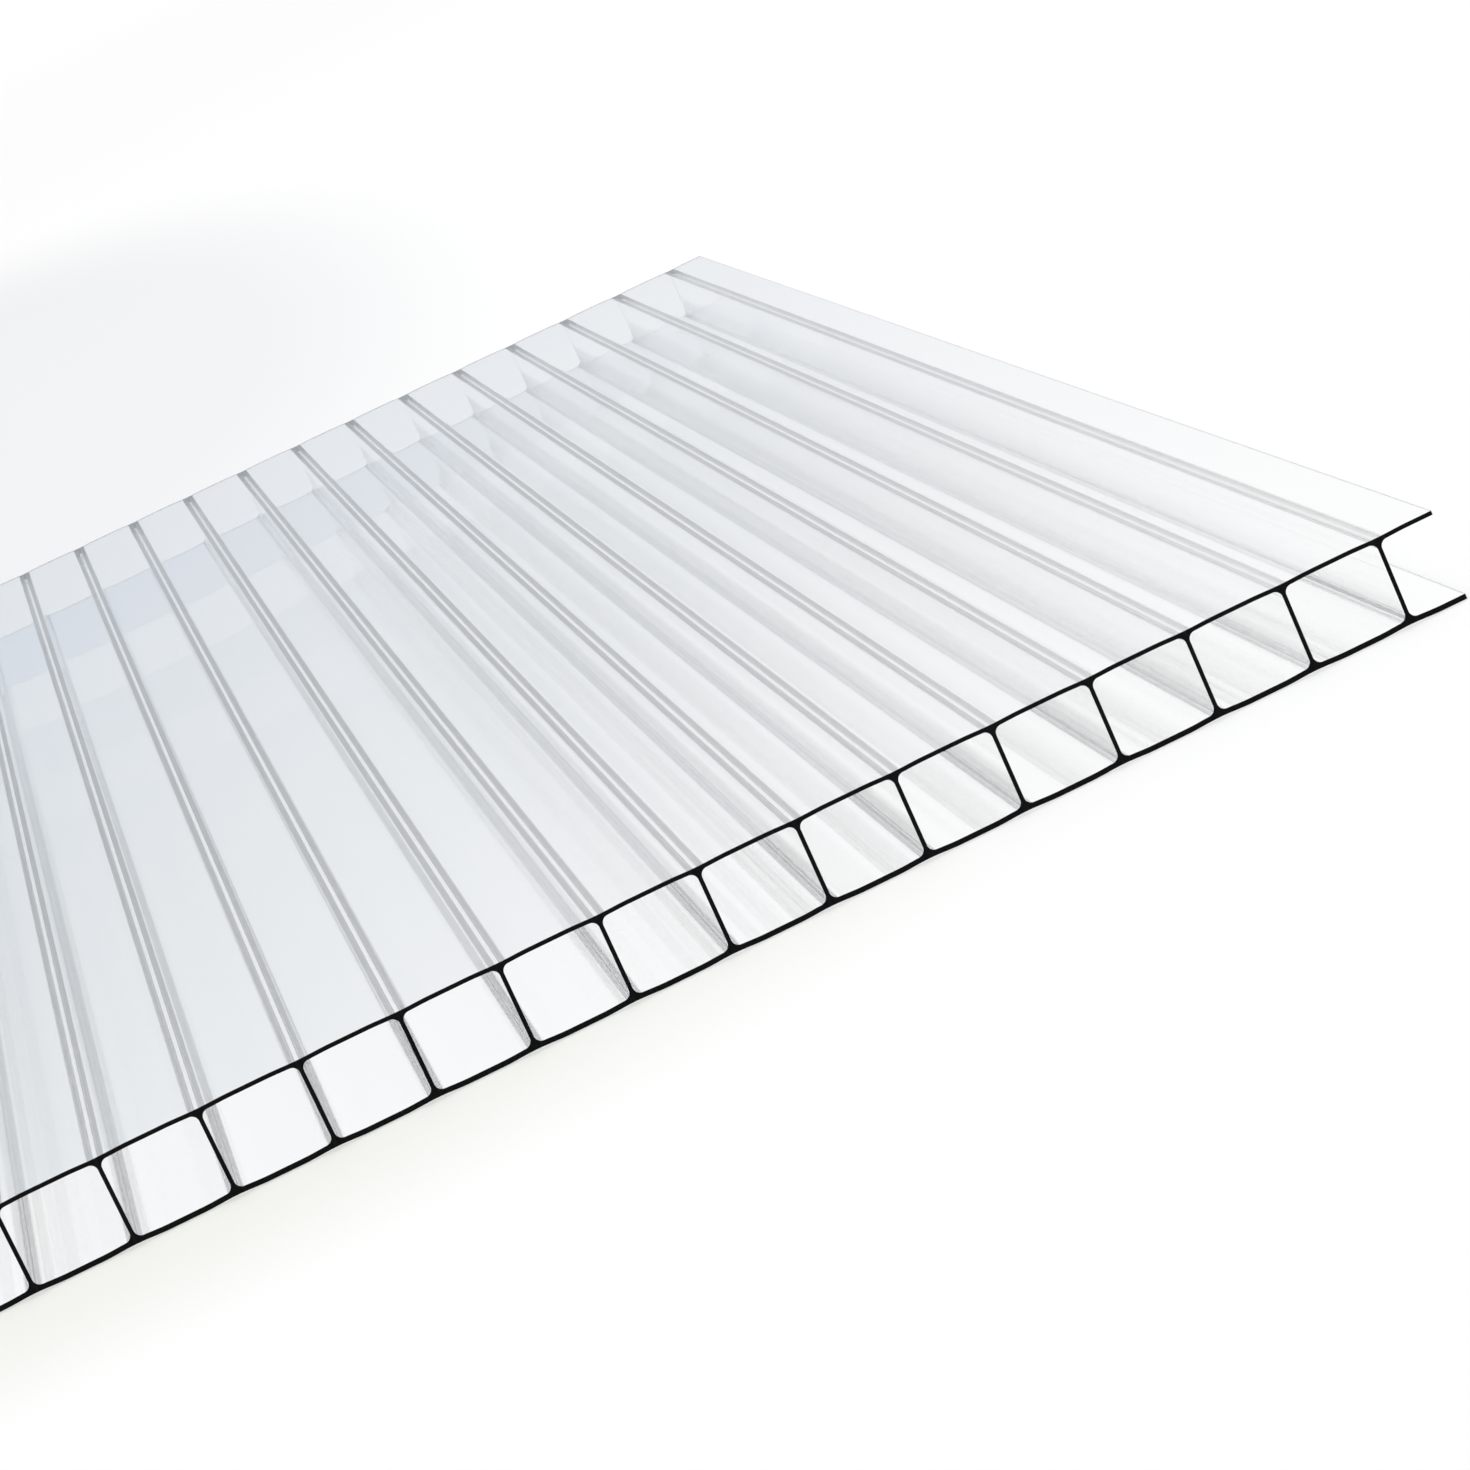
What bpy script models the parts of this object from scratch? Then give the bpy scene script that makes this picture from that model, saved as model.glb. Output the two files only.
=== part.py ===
"""Clear twin-wall polycarbonate glazing sheet, sawn to size and lying flat.

The sheet is one extrusion: a top skin and a bottom skin, joined by upright ribs at an
even pitch, with a fillet in every corner of every flute. The flutes run along Y. The
section is drawn one bay at a time, from rib centre to rib centre, then trimmed to the
sheet's width as a saw trims it, and pushed along the flutes.

The origin is at the middle of the underside. X runs across the flutes, +Z is up.
"""

from math import ceil, cos, pi, sin

import bmesh
import bpy
from mathutils import Vector

MM = 0.001

# Driving dimensions of the stock
SHEET_THICKNESS = 10.0 * MM
RIB_PITCH = 11.0 * MM
TOP_SKIN = 0.47 * MM
BOTTOM_SKIN = 0.58 * MM
RIB_WALL = 0.46 * MM
FILLET_RADIUS = 0.78 * MM

# As the melt cools, the ribs draw the skins in, so each skin bows out between them. The
# draw is its depth at a rib's centre line, and the reach is how far it spreads from there.
TOP_DRAW = 0.09 * MM
TOP_DRAW_REACH = 3.5 * MM
BOTTOM_DRAW = 0.14 * MM
BOTTOM_DRAW_REACH = 3.7 * MM

# Driving dimensions of the cut piece
SHEET_WIDTH = 297.0 * MM
SHEET_LENGTH = 420.0 * MM
RIGHT_FLANGE = 6.4 * MM  # from the outermost rib's centre line to the saw cut at +X

# Steps that round shapes are drawn with
FILLET_STEPS = 4
SKIN_STEPS = 3

WELD_DISTANCE = 0.001 * MM


def flat_quarter_bay(face, skin, inwards):
    """Pairs of points from mid-bay round one corner of the flute to its rib.

    Each pair is a point on the flute's wall and its partner on the outside of the bay,
    which is the sheet's face as far as the rib's centre line, and then that centre line.
    face is the height of the sheet's face, and inwards is the way from it to the flute:
    -1 below the top skin and +1 above the bottom skin. The skin is still flat here.
    """
    half_pitch = RIB_PITCH / 2
    cell_face = face + inwards * skin
    fillet_start = half_pitch - RIB_WALL / 2 - FILLET_RADIUS
    fillet_end = cell_face + inwards * FILLET_RADIUS

    pairs = []
    for step in range(SKIN_STEPS):
        across = fillet_start * step / SKIN_STEPS
        pairs.append(((across, cell_face), (across, face)))

    for step in range(FILLET_STEPS + 1):
        share = step / FILLET_STEPS
        angle = share * pi / 2
        wall_point = (
            fillet_start + FILLET_RADIUS * sin(angle),
            fillet_end - inwards * FILLET_RADIUS * cos(angle),
        )
        if share <= 0.5:
            across = fillet_start + (half_pitch - fillet_start) * 2 * share
            partner = (across, face)
        else:
            partner = (half_pitch, face + (fillet_end - face) * (2 * share - 1))
        pairs.append((wall_point, partner))
    return pairs


def drawn_in(point, draw, reach, inwards):
    """A point of a flat quarter bay, moved by as much as the rib draws the skin in."""
    across, height = point
    from_rib = RIB_PITCH / 2 - across
    if from_rib >= reach:
        return point
    return (across, height + inwards * draw * (1 + cos(pi * from_rib / reach)) / 2)


def quarter_bay(face, skin, draw, reach, inwards):
    pairs = flat_quarter_bay(face, skin, inwards)
    return [tuple(drawn_in(point, draw, reach, inwards) for point in pair) for pair in pairs]


def mirrored(pairs):
    """The same pairs on the other side of the middle of the bay, met in reverse order."""
    return [tuple((-x, z) for x, z in pair) for pair in reversed(pairs)]


def bay_outline():
    """All the pairs of one bay in order: along the top, down a rib, back and up again."""
    top_right = quarter_bay(SHEET_THICKNESS, TOP_SKIN, TOP_DRAW, TOP_DRAW_REACH, -1)
    bottom_right = quarter_bay(0.0, BOTTOM_SKIN, BOTTOM_DRAW, BOTTOM_DRAW_REACH, +1)
    right_half = top_right + bottom_right[::-1]
    left_half = mirrored(right_half)
    return right_half + left_half[1:-1]


def add_bay(section, centre):
    """One bay of the section, as a ring of four-sided faces round its flute."""
    wall, outside = [], []
    for wall_point, partner in bay_outline():
        wall.append(section.verts.new((centre + wall_point[0], 0, wall_point[1])))
        outside.append(section.verts.new((centre + partner[0], 0, partner[1])))
    for here in range(len(wall)):
        after = (here + 1) % len(wall)
        section.faces.new((wall[here], outside[here], outside[after], wall[after]))


def saw(section, side):
    """Trims the section at one long side of the sheet: +1 at +X, -1 at -X."""
    bmesh.ops.bisect_plane(
        section,
        geom=section.verts[:] + section.edges[:] + section.faces[:],
        dist=WELD_DISTANCE,
        plane_co=(side * SHEET_WIDTH / 2, 0, 0),
        plane_no=(side, 0, 0),
        clear_outer=True,
    )


def polycarbonate():
    material = bpy.data.materials.new("clear_polycarbonate")
    material.use_nodes = True
    shader = material.node_tree.nodes["Principled BSDF"]
    shader.inputs["Base Color"].default_value = (0.86, 0.90, 0.93, 1)
    shader.inputs["Roughness"].default_value = 0.08
    shader.inputs["Metallic"].default_value = 0.0
    shader.inputs["IOR"].default_value = 1.585
    shader.inputs["Transmission Weight"].default_value = 0.9
    return material


def twin_wall_sheet():
    """The whole sheet, from its trimmed section."""
    section = bmesh.new()
    first_rib = SHEET_WIDTH / 2 - RIGHT_FLANGE
    last_bay = ceil((first_rib + SHEET_WIDTH / 2) / RIB_PITCH)
    for bay in range(last_bay + 1):
        add_bay(section, first_rib + RIB_PITCH / 2 - bay * RIB_PITCH)
    bmesh.ops.remove_doubles(section, verts=section.verts[:], dist=WELD_DISTANCE)
    saw(section, +1)
    saw(section, -1)

    bmesh.ops.translate(section, verts=section.verts[:], vec=(0, -SHEET_LENGTH / 2, 0))
    pushed = bmesh.ops.extrude_face_region(section, geom=section.faces[:])["geom"]
    far_end = [item for item in pushed if isinstance(item, bmesh.types.BMVert)]
    bmesh.ops.translate(section, verts=far_end, vec=Vector((0, SHEET_LENGTH, 0)))
    bmesh.ops.recalc_face_normals(section, faces=section.faces[:])

    mesh = bpy.data.meshes.new("twin_wall_sheet")
    section.to_mesh(mesh)
    section.free()
    mesh.materials.append(polycarbonate())
    mesh.shade_smooth()
    mesh.set_sharp_from_angle(angle=pi / 6)
    sheet = bpy.data.objects.new("twin_wall_sheet", mesh)
    bpy.context.scene.collection.objects.link(sheet)
    return sheet


for old in list(bpy.data.objects):
    bpy.data.objects.remove(old, do_unlink=True)

twin_wall_sheet()
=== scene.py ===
# %% [markdown]
# A twin-wall glazing sheet is one clear extrusion. Two thin skins are joined by upright
# ribs, and the space between two ribs is an open flute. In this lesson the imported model
# is the fixed frame, and one finer mesh of the same section is built round it, because
# clear plastic shows every facet of a coarse mesh as a bent line.

# %% Load the frame
from math import cos, pi, radians

import bmesh
import bpy
from mathutils import Euler, Matrix, Vector


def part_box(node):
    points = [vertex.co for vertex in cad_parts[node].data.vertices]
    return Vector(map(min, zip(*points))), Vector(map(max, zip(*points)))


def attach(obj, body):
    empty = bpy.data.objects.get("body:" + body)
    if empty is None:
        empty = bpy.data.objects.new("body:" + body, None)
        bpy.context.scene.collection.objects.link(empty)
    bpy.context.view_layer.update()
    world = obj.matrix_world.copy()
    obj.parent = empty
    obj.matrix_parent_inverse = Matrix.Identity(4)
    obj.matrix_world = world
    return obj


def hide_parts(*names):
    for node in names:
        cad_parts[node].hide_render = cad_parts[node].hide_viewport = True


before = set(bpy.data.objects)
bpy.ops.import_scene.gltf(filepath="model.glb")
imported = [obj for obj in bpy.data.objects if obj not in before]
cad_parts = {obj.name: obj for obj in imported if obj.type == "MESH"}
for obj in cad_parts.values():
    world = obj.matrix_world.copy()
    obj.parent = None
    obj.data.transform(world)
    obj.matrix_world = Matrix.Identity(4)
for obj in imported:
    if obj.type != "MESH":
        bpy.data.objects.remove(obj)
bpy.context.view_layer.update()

MM = 0.001
CAD_NODE = "twin_wall_sheet"
low, high = (Vector(corner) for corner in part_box(CAD_NODE))
print("sheet box in mm:", [round(v / MM, 2) for v in (*low, *high)])

# %% [markdown]
# The section has a few sizes of its own. The box gives width, length and thickness, and
# these give the rest: how far apart the ribs stand and how thick each wall is. Between
# the ribs both skins bow out by about a tenth of a millimetre, because the ribs pull the
# skins in as the plastic cools. It is little, but it bends the light along every rib.

# %% Sizes of the section
SHEET_THICKNESS = high.z - low.z
RIB_PITCH = 11.0 * MM
TOP_SKIN = 0.47 * MM
BOTTOM_SKIN = 0.58 * MM
RIB_WALL = 0.46 * MM
FILLET_RADIUS = 0.78 * MM
TOP_DRAW = 0.09 * MM
TOP_DRAW_REACH = 3.5 * MM
BOTTOM_DRAW = 0.14 * MM
BOTTOM_DRAW_REACH = 3.7 * MM
RIGHT_FLANGE = 6.4 * MM  # from the outermost rib to the saw cut at +X

FILLET_SEGMENTS = 18
SKIN_CUTS = 39  # cuts across one bay's skin, so that its bow is round
WELD = 0.001 * MM  # points nearer than this are one point

first_rib = high.x - RIGHT_FLANGE
bays_to_cut = int((first_rib - low.x) / RIB_PITCH) + 2  # with a part bay at each side
print("ribs:", bays_to_cut - 1)

# %% [markdown]
# One bay of the section can be drawn as two rectangles, the bay and the flute inside it.
# The flute's corners are rounded by a bevel on its four points, which gives true fillets.
# Both outlines are then filled together, and the filling leaves the flute open.

# %% Draw the outlines of one bay
def upright_rectangle(mesh, width, bottom, top):
    """A face in the XZ plane, centred on X = 0; returns its vertices."""
    place = Matrix.LocRotScale(
        Vector((0, 0, (bottom + top) / 2)),
        Euler((radians(90), 0, 0)),
        Vector((width, top - bottom, 1)),
    )
    made = bmesh.ops.create_grid(mesh, x_segments=1, y_segments=1, size=0.5, matrix=place)
    return made["verts"]


section = bmesh.new()
upright_rectangle(section, RIB_PITCH, 0, SHEET_THICKNESS)
flute = upright_rectangle(
    section, RIB_PITCH - RIB_WALL, BOTTOM_SKIN, SHEET_THICKNESS - TOP_SKIN
)
bmesh.ops.bevel(
    section,
    geom=flute,
    offset=FILLET_RADIUS,
    segments=FILLET_SEGMENTS,
    profile=0.5,
    affect="VERTICES",
    material=-1,
)
bmesh.ops.delete(section, geom=section.faces[:], context="FACES_ONLY")
print("outline points of one bay:", len(section.verts))

# %% Cut the skins' long lines into short ones, and bow them
long_lines = [
    edge for edge in section.edges
    if abs(edge.verts[0].co.x - edge.verts[1].co.x) > RIB_PITCH / 2
]
bmesh.ops.subdivide_edges(section, edges=long_lines, cuts=SKIN_CUTS)


def drawn_in(point):
    """How far a rib draws in the skin at this point of the bay: down above, up below."""
    above = point.z > SHEET_THICKNESS / 2
    draw, reach = (-TOP_DRAW, TOP_DRAW_REACH) if above else (BOTTOM_DRAW, BOTTOM_DRAW_REACH)
    from_rib = RIB_PITCH / 2 - abs(point.x)
    return draw * (1 + cos(pi * from_rib / reach)) / 2 if from_rib < reach else 0.0


for vert in section.verts:
    vert.co.z += drawn_in(vert.co)

bmesh.ops.triangle_fill(section, edges=section.edges[:], use_beauty=True)
print("faces of one bay:", len(section.faces))

# %% [markdown]
# The die that makes this sheet is much wider than the piece, so the section is made the
# same way: more bays than needed, then a saw cut on each side. bisect_plane is the saw.
# It leaves part bays at the sides, as a real cut does, with the skins standing out as
# flanges past the last rib.

# %% Repeat the bay and saw both sides
bay_parts = section.verts[:] + section.edges[:] + section.faces[:]
first_centre = first_rib + RIB_PITCH / 2
bmesh.ops.translate(section, verts=section.verts[:], vec=(first_centre, 0, 0))
for number in range(1, bays_to_cut):
    copied = bmesh.ops.duplicate(section, geom=bay_parts)["geom"]
    points = [item for item in copied if isinstance(item, bmesh.types.BMVert)]
    bmesh.ops.translate(section, verts=points, vec=(-number * RIB_PITCH, 0, 0))
bmesh.ops.remove_doubles(section, verts=section.verts[:], dist=WELD)

for side, edge_x in ((1, high.x), (-1, low.x)):
    bmesh.ops.bisect_plane(
        section,
        geom=section.verts[:] + section.edges[:] + section.faces[:],
        dist=WELD,
        plane_co=(edge_x, 0, 0),
        plane_no=(side, 0, 0),
        clear_outer=True,
    )
print("section:", len(section.verts), "points,", len(section.faces), "faces")

# %% [markdown]
# The section is pushed along Y, which makes the skins, the ribs and both sawn ends in one
# go. The saw leaves another surface than the die does, so the cut faces get finishes of
# their own.

# %% Push the section along the flutes
bmesh.ops.translate(section, verts=section.verts[:], vec=(0, low.y, 0))
pushed = bmesh.ops.extrude_face_region(section, geom=section.faces[:])["geom"]
far_end = [item for item in pushed if isinstance(item, bmesh.types.BMVert)]
bmesh.ops.translate(section, verts=far_end, vec=(0, high.y - low.y, 0))
bmesh.ops.recalc_face_normals(section, faces=section.faces[:])
print("faces after the push:", len(section.faces))

# %% Tell the sawn faces from the extruded ones
SAWN_END, SAWN_SIDE = 1, 2  # slot 0 is the clear finish
STRAIGHT_ALONG = 0.9  # with this much of its normal along Y, a face is a sawn end's

for face in section.faces:
    middle = face.calc_center_median()
    if abs(face.normal.y) > STRAIGHT_ALONG:
        face.material_index = SAWN_END
    elif min(high.x - middle.x, middle.x - low.x) < WELD:
        face.material_index = SAWN_SIDE
print("sawn faces:", sum(face.material_index > 0 for face in section.faces))

# %% Make the mesh and its object
SHARP_FROM = radians(40)  # only the saw's edges turn by more than this

sheet_mesh = bpy.data.meshes.new("clear_sheet")
section.to_mesh(sheet_mesh)
section.free()
sheet_mesh.shade_smooth()
sheet_mesh.set_sharp_from_angle(angle=SHARP_FROM)
sheet = bpy.data.objects.new("clear_sheet", sheet_mesh)
bpy.context.scene.collection.objects.link(sheet)
print("triangles:", sum(len(p.vertices) - 2 for p in sheet_mesh.polygons))

# %% [markdown]
# Materials come next. A few helpers keep the node code short.

# %% Make and feed nodes
def feed(tree, value, socket):
    """Links an output to a socket, or sets the socket to a plain value."""
    if isinstance(value, bpy.types.NodeSocket):
        tree.links.new(value, socket)
    else:
        socket.default_value = value


def add_node(tree, kind, inputs=None, **settings):
    """A new node with these settings, and its inputs fed by name or number."""
    node = tree.nodes.new(kind)
    for name, value in settings.items():
        setattr(node, name, value)
    for name, value in (inputs or {}).items():
        feed(tree, value, node.inputs[name])
    return node


def new_finish(name, values):
    """A material, its tree and its Principled shader, which gets these plain values."""
    material = bpy.data.materials.new(name)
    material.use_nodes = True
    shader = material.node_tree.nodes["Principled BSDF"]
    for socket, value in values.items():
        shader.inputs[socket].default_value = value
    return material, material.node_tree, shader


# %% Sums and blends
def maths(tree, operation, *values):
    """The output of a Math node."""
    return add_node(
        tree, "ShaderNodeMath", dict(enumerate(values)), operation=operation
    ).outputs[0]


def eased(tree, value, start, end):
    """0 before start and 1 past end, with a soft step between them."""
    sizes = {"Value": value, "From Min": start, "From Max": end}
    return add_node(
        tree, "ShaderNodeMapRange", sizes, interpolation_type="SMOOTHSTEP"
    ).outputs[0]


def blended(tree, share, first, second):
    """A colour between two others: share is 0 for the first and 1 for the second."""
    sides = {0: share, 6: first, 7: second}
    return add_node(tree, "ShaderNodeMix", sides, data_type="RGBA").outputs[2]


# %% [markdown]
# Extruded plastic carries faint lines from the die along its whole length, and a sawn face
# carries the saw's scores. Both are noise in X and Y alone. With few repeats along Y it
# draws lines along the skins, and on an upright sawn face its lines stand upright.

# %% Stretched noise
def stretched_noise(tree, vector, repeats, detail):
    """Noise in X and Y with this many repeats per metre each way."""
    moved = add_node(
        tree, "ShaderNodeMapping", {"Vector": vector, "Scale": (*repeats, 1)}
    )
    return add_node(
        tree,
        "ShaderNodeTexNoise",
        {"Vector": moved.outputs[0], "Scale": 1.0, "Detail": detail},
        noise_dimensions="2D",
    ).outputs[0]


# %% [markdown]
# The clear finish is a Principled glass with polycarbonate's refraction. Light that enters
# by a fillet is caught inside the walls and travels far in them. The plastic takes a
# little of it on the way, which draws the grey lines along the ribs. Lamps reach the
# ground through a mix with Transparent, which takes over for their rays: otherwise the
# sheet would throw the shadow of a solid board.

# %% Clear polycarbonate
REFRACTION = 1.585
CLEAR_TINT = (0.998, 0.999, 1.0, 1)
LIGHT_TAKEN = {"Color": (0.0, 0.05, 0.1, 1), "Density": 3.0}  # per metre, red the most
DIE_LINES = (212, 5)  # repeats per metre across the flutes and along them
DIE_BUMP = {"Strength": 1.0, "Distance": 0.006 * MM}
LAMP_TINT = (0.985, 0.987, 0.99, 1)  # what a wall leaves of the lamp's light


def clear_polycarbonate():
    material, tree, shader = new_finish(
        "clear_polycarbonate",
        {
            "Base Color": CLEAR_TINT,
            "Roughness": 0.0,
            "IOR": REFRACTION,
            "Transmission Weight": 1.0,
        },
    )
    place = tree.nodes.new("ShaderNodeTexCoord").outputs["Object"]
    lines = stretched_noise(tree, place, DIE_LINES, 0.0)
    bump = add_node(tree, "ShaderNodeBump", {**DIE_BUMP, "Height": lines})
    feed(tree, bump.outputs["Normal"], shader.inputs["Normal"])

    film = add_node(tree, "ShaderNodeBsdfTransparent", {"Color": LAMP_TINT})
    path = tree.nodes.new("ShaderNodeLightPath").outputs
    from_lamps = maths(tree, "MAXIMUM", path["Is Shadow Ray"], path["Is Diffuse Ray"])
    sides = {0: from_lamps, 1: shader.outputs[0], 2: film.outputs[0]}
    mix = add_node(tree, "ShaderNodeMixShader", sides)
    soak = add_node(tree, "ShaderNodeVolumeAbsorption", LIGHT_TAKEN)
    feed(tree, mix.outputs[0], tree.nodes["Material Output"].inputs["Surface"])
    feed(tree, soak.outputs[0], tree.nodes["Material Output"].inputs["Volume"])
    return material


sheet_mesh.materials.append(clear_polycarbonate())
print("clear finish, nodes:", len(sheet_mesh.materials[0].node_tree.nodes))

# %% [markdown]
# A saw leaves fine scores and a rough face. Light that comes along inside the walls is lost
# there, so the ends are given a nearly black colour, which is painted shade, seen from
# outside and through the plastic. The long side cuts are thin lines that stay pale. Both
# finishes share one group, which gives the height of the face and the scores as a mask.

# %% The saw's marks
SCORES = (2600, 2600)  # repeats per metre
GRAIN = (3700, 5200)
GRAIN_SHARE = 0.35  # of the scores' height
SCORE_RIM = (0.3, 0.75)  # the noise is dark below the first and pale above the second
SAW_BUMP = {"Strength": 0.5, "Distance": 0.04 * MM}


def saw_marks_group():
    tree = bpy.data.node_groups.new("saw_marks", "ShaderNodeTree")
    tree.interface.new_socket("Vector", in_out="INPUT", socket_type="NodeSocketVector")
    for socket in ("Height", "Scores"):
        tree.interface.new_socket(socket, in_out="OUTPUT", socket_type="NodeSocketFloat")
    place = tree.nodes.new("NodeGroupInput").outputs["Vector"]
    scores = stretched_noise(tree, place, SCORES, 2.0)
    grain = stretched_noise(tree, place, GRAIN, 1.0)
    height = maths(tree, "MULTIPLY_ADD", grain, GRAIN_SHARE, scores)
    end = tree.nodes.new("NodeGroupOutput")
    tree.links.new(height, end.inputs["Height"])
    tree.links.new(scores, end.inputs["Scores"])
    return tree


saw_marks = saw_marks_group()
print("group:", saw_marks.name, [item.name for item in saw_marks.interface.items_tree])

# %% Sawn faces
def sawn_material(name, dark, pale, inside, clearness, roughness, gloss):
    """A sawn face: dark and pale in and between its scores, inside from within."""
    material, tree, shader = new_finish(
        name,
        {
            "IOR": REFRACTION,
            "Transmission Weight": clearness,
            "Roughness": roughness,
            "Specular IOR Level": gloss,
        },
    )
    place = tree.nodes.new("ShaderNodeTexCoord").outputs["Object"]
    marks = add_node(tree, "ShaderNodeGroup", {"Vector": place}, node_tree=saw_marks)
    scored = eased(tree, marks.outputs["Scores"], *SCORE_RIM)
    outer = blended(tree, scored, (*dark, 1), (*pale, 1))
    behind = tree.nodes.new("ShaderNodeNewGeometry").outputs["Backfacing"]
    colour = blended(tree, behind, outer, (*inside, 1))
    feed(tree, colour, shader.inputs["Base Color"])
    bump = add_node(tree, "ShaderNodeBump", {**SAW_BUMP, "Height": marks.outputs["Height"]})
    feed(tree, bump.outputs["Normal"], shader.inputs["Normal"])
    return material


# Painted shade: the end's near-black colours, outside and from within, stand in for the light
# lost in the walls.
sheet_mesh.materials.append(
    sawn_material(
        name="sawn_end_painted_dark",
        dark=(0.002, 0.002, 0.002),
        pale=(0.006, 0.006, 0.007),
        inside=(0.01, 0.01, 0.01),
        clearness=0.0,
        roughness=0.6,
        gloss=0.05,
    )
)
sheet_mesh.materials.append(
    sawn_material(
        name="sawn_side",
        dark=(0.55, 0.57, 0.60),
        pale=(0.80, 0.82, 0.84),
        inside=(0.80, 0.82, 0.84),
        clearness=0.8,
        roughness=0.35,
        gloss=0.5,
    )
)
print("finishes:", [m.name for m in sheet_mesh.materials])

# %% [markdown]
# The piece stands for the plain solid of the frame and moves with its body.

# %% Tie the piece to the frame
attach(sheet, "root")
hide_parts(CAD_NODE)
print(sheet.name, "stands for", CAD_NODE)

# %% [markdown]
# The studio is white paper all round. The ground must show the sheet's faint shadow, so it
# is a pale matt surface with a glow that only the camera sees. The glow is less in two soft
# patches of painted shade, where the paper turns faintly grey: a long cool one behind the
# sheet and a small warm one along its front edge, which is a painted contact shadow. Far
# away the lamp adds less light, and a stronger glow makes up for it. Rays that come through
# the sheet, or are mirrored by it, meet plain white.

# %% Painted shade on the ground
# Painted shade: a long cool ellipse behind the sheet, where the ground's glow is greyed.
BEHIND_PAINTED_SHADE = {"centre": (0.0, 0.6), "size": (0.17, 0.62), "inner": 0.45, "outer": 1.0}
# Painted contact shadow: a small warm ellipse along the sheet's front edge.
FRONT_PAINTED_SHADOW = {"centre": (-0.02, -0.21), "size": (0.12, 0.035), "inner": 0.3, "outer": 1.2}
NEAR_THE_SHEET = {"centre": (0.2, 0.2), "size": (4.0, 4.0), "inner": 0.2, "outer": 0.9}


def patch(tree, place, centre, size, inner, outer):
    """1 inside an ellipse on the ground and 0 outside it.

    The rim between them is soft, from inner to outer times the size.
    """
    moved = add_node(
        tree,
        "ShaderNodeMapping",
        {"Vector": place, "Location": (*centre, 0), "Scale": (*size, 1)},
        vector_type="TEXTURE",
    ).outputs[0]
    away = add_node(tree, "ShaderNodeVectorMath", {0: moved}, operation="LENGTH").outputs[1]
    return eased(tree, away, outer, inner)


# %% The ground's paper
WHITE = (1, 1, 1, 1)
PAPER = (0.78, 0.78, 0.78, 1)
NEAR_GLOW = 0.125
FAR_GLOW = 0.24
# Colour of the painted shade behind the sheet.
BEHIND_PAINTED_SHADE_COLOUR = (0.0, 0.04, 0.15, 1)
# Colour of the painted contact shadow along the front edge.
FRONT_PAINTED_SHADOW_COLOUR = (0.4, 0.45, 0.1, 1)


def white_ground():
    material = bpy.data.materials.new("white_ground")
    material.use_nodes = True
    tree = material.node_tree
    tree.nodes.remove(tree.nodes["Principled BSDF"])
    path = tree.nodes.new("ShaderNodeLightPath").outputs
    place = tree.nodes.new("ShaderNodeTexCoord").outputs["Object"]
    # The painted shade behind the sheet greys the glow.
    glow_with_painted_shade = blended(tree, patch(tree, place, **BEHIND_PAINTED_SHADE), WHITE, BEHIND_PAINTED_SHADE_COLOUR)
    # The painted contact shadow along the front edge greys it too.
    glow_with_painted_shade = blended(tree, patch(tree, place, **FRONT_PAINTED_SHADOW), glow_with_painted_shade, FRONT_PAINTED_SHADOW_COLOUR)
    near = patch(tree, place, **NEAR_THE_SHEET)
    strength = maths(tree, "MULTIPLY_ADD", near, NEAR_GLOW - FAR_GLOW, FAR_GLOW)
    seen = maths(tree, "MULTIPLY", path["Is Camera Ray"], strength)

    matt = add_node(tree, "ShaderNodeBsdfDiffuse", {"Color": PAPER})
    glow = add_node(tree, "ShaderNodeEmission", {"Color": glow_with_painted_shade, "Strength": seen})
    lit = add_node(tree, "ShaderNodeAddShader", {0: matt.outputs[0], 1: glow.outputs[0]})
    plain = add_node(tree, "ShaderNodeEmission", {"Color": WHITE, "Strength": 1.0})
    indirect = maths(tree, "MAXIMUM", path["Is Transmission Ray"], path["Is Glossy Ray"])
    sides = {0: indirect, 1: lit.outputs[0], 2: plain.outputs[0]}
    mix = add_node(tree, "ShaderNodeMixShader", sides)
    feed(tree, mix.outputs[0], tree.nodes["Material Output"].inputs["Surface"])
    return material


# %% The ground's disc
GROUND_RADIUS = 30.0
GROUND_GAP = 0.02 * MM

disc = bmesh.new()
bmesh.ops.create_circle(disc, cap_ends=True, segments=64, radius=GROUND_RADIUS)
bmesh.ops.translate(disc, verts=disc.verts[:], vec=(0, 0, low.z - GROUND_GAP))
ground_mesh = bpy.data.meshes.new("ground")
disc.to_mesh(ground_mesh)
disc.free()
ground_mesh.materials.append(white_ground())
ground = bpy.data.objects.new("ground", ground_mesh)
bpy.context.scene.collection.objects.link(ground)
print("ground, metres across:", 2 * GROUND_RADIUS)

# %% [markdown]
# Clear plastic is seen by what it mirrors. At this low angle the skins mirror the far wall
# of the studio, which is grey-blue and turns white to the right and upwards. The ribs
# mirror it from further left, where it is pale. The other walls and the ceiling are darker,
# so that the sheet shows from every side. Just above the ground, and wherever the camera
# or the matt ground sees them, the walls are white.

# %% The studio's walls
WALL_GREY = (0.54, 0.60, 0.655, 1)
WALL_BLUE = (0.595, 0.65, 0.72, 1)
WALL_PALE = (0.85, 0.86, 0.87, 1)
OTHER_WALLS = (0.58, 0.63, 0.69, 1)
CEILING = (0.34, 0.38, 0.43, 1)

# Each pair is where a change starts and ends, as a part of a ray's way with length 1.
WHITE_TO_RIGHT = (0.07, 0.70)
WALL_RISE = 1.5  # how much height counts there, beside distance to the right
BLUE_TO_GREY = (0.13, 0.22)  # of height
PALE_TO_MIDDLE = (-0.14, -0.06)  # from left to right
WALLS_TO_CEILING = (0.1, 0.8)
OTHERS_TO_FAR = (0.78, 0.90)  # of the way along the flutes
ABOVE_GROUND = (0.05, 0.12)


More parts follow.
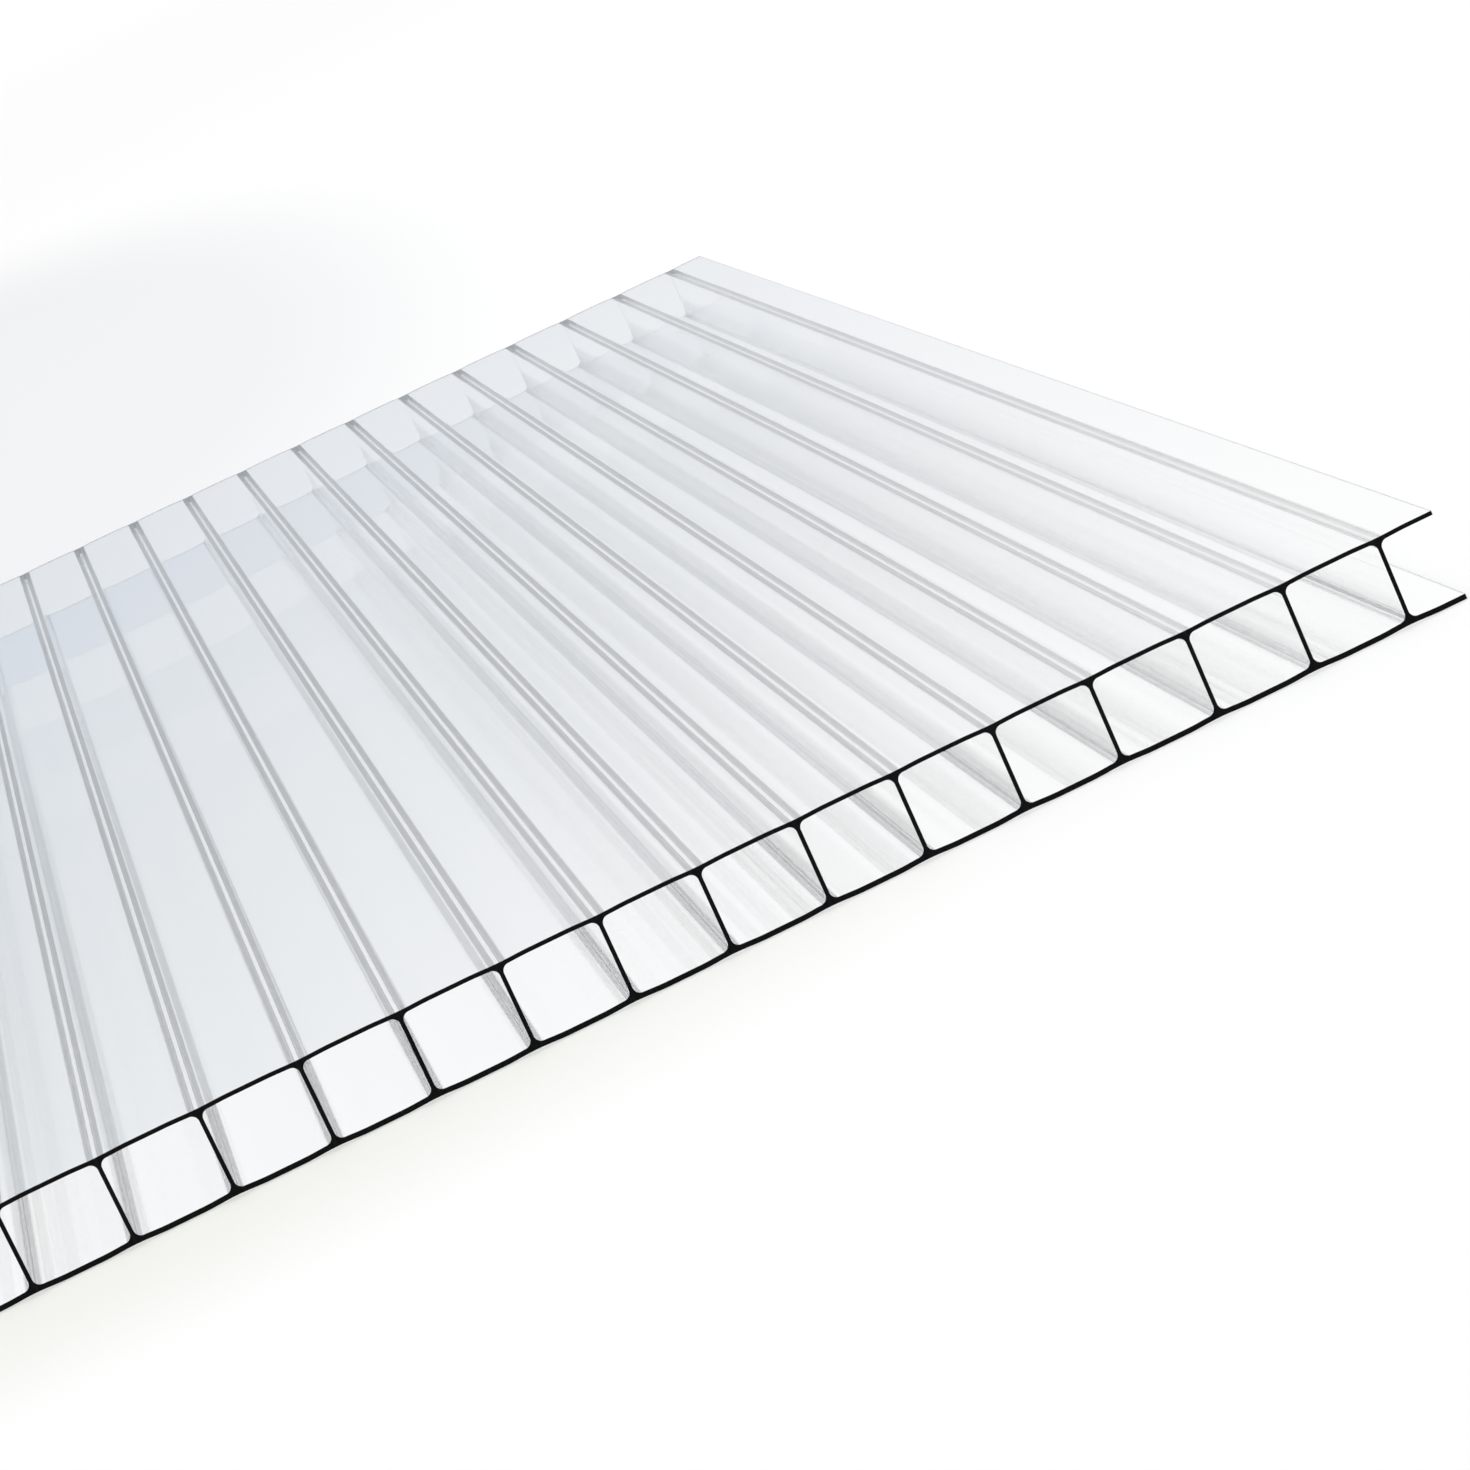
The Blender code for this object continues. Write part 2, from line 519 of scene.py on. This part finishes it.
def wall_colour(tree, way):
    """The wall's colour where a ray with this way meets it."""
    aslant = maths(tree, "MULTIPLY_ADD", way["Z"], WALL_RISE, way["X"])
    middle = blended(tree, eased(tree, way["Z"], *BLUE_TO_GREY), WALL_BLUE, WALL_GREY)
    left = blended(tree, eased(tree, way["X"], *PALE_TO_MIDDLE), WALL_PALE, middle)
    far_wall = blended(tree, eased(tree, aslant, *WHITE_TO_RIGHT), left, WHITE)
    others = blended(tree, eased(tree, way["Z"], *WALLS_TO_CEILING), OTHER_WALLS, CEILING)
    wall = blended(tree, eased(tree, way["Y"], *OTHERS_TO_FAR), others, far_wall)
    return blended(tree, eased(tree, way["Z"], *ABOVE_GROUND), WHITE, wall)


def studio_walls():
    world = bpy.data.worlds.new("studio")
    world.use_nodes = True
    tree = world.node_tree
    tree.nodes.clear()
    coords = tree.nodes.new("ShaderNodeTexCoord")
    way = add_node(tree, "ShaderNodeSeparateXYZ", {0: coords.outputs["Generated"]}).outputs
    colour = wall_colour(tree, way)
    mirrored = add_node(tree, "ShaderNodeBackground", {"Color": colour})
    paper = add_node(tree, "ShaderNodeBackground", {"Color": WHITE})
    path = tree.nodes.new("ShaderNodeLightPath").outputs
    plain = maths(tree, "MAXIMUM", path["Is Camera Ray"], path["Is Diffuse Ray"])
    sides = {0: plain, 1: mirrored.outputs[0], 2: paper.outputs[0]}
    mix = add_node(tree, "ShaderNodeMixShader", sides)
    add_node(tree, "ShaderNodeOutputWorld", {"Surface": mix.outputs[0]})
    return world


bpy.context.scene.world = studio_walls()
print("walls:", bpy.context.scene.world.name)

# %% [markdown]
# One lamp, high up to the right, lights the ground and gives the sheet its faint shadow.
# It is much wider than the sheet, which keeps the shadow soft.

# %% A soft lamp above
LAMP_WIDTH = 1.6
LAMP_WATTS = 8.0
LAMP_PLACE = (0.9, 0.4, 1.8)

lamp = bpy.data.lights.new("softbox", "AREA")
lamp.shape = "DISK"
lamp.size = LAMP_WIDTH
lamp.energy = LAMP_WATTS
softbox = bpy.data.objects.new("softbox", lamp)
softbox.location = LAMP_PLACE
softbox.rotation_euler = softbox.location.to_track_quat("Z", "Y").to_euler()
bpy.context.scene.collection.objects.link(softbox)
print("lamp:", lamp.energy, "W at", LAMP_PLACE)

# %% [markdown]
# The camera stands low in front of the sheet, near its middle, and is rolled, so that the
# sheet climbs from lower left to upper right across the picture.

# %% The camera
CAMERA_PLACE = (0.0265, -0.6745, 0.1264)
CAMERA_DOWN, CAMERA_RIGHT, CAMERA_ROLL = 12.792, 5.866, 24.397  # degrees
LENS, SENSOR = 117.65, 36.0  # mm

camera_data = bpy.data.cameras.new("camera")
camera_data.sensor_width = SENSOR
camera_data.lens = LENS
camera = bpy.data.objects.new("camera", camera_data)
look = Euler((radians(90 - CAMERA_DOWN), 0, radians(-CAMERA_RIGHT))).to_matrix()
roll = Matrix.Rotation(radians(-CAMERA_ROLL), 3, "Z")
camera.matrix_world = Matrix.Translation(CAMERA_PLACE) @ (look @ roll).to_4x4()
bpy.context.scene.collection.objects.link(camera)
bpy.context.scene.camera = camera
print("camera at", CAMERA_PLACE, "with a lens of", LENS, "mm")

# %% [markdown]
# Light passes many clear walls here, so its paths are made long enough. A path that is
# cut ends in black, and with fewer bounces the ribs would turn dark.

# %% How the scene is seen
CLEAR_BOUNCES = 40

scene = bpy.context.scene
scene.view_settings.view_transform = "Standard"
scene.cycles.max_bounces = CLEAR_BOUNCES
scene.cycles.transmission_bounces = CLEAR_BOUNCES
scene.cycles.glossy_bounces = CLEAR_BOUNCES
scene.cycles.transparent_max_bounces = 24
scene.cycles.diffuse_bounces = 1
print("bounces:", scene.cycles.max_bounces)
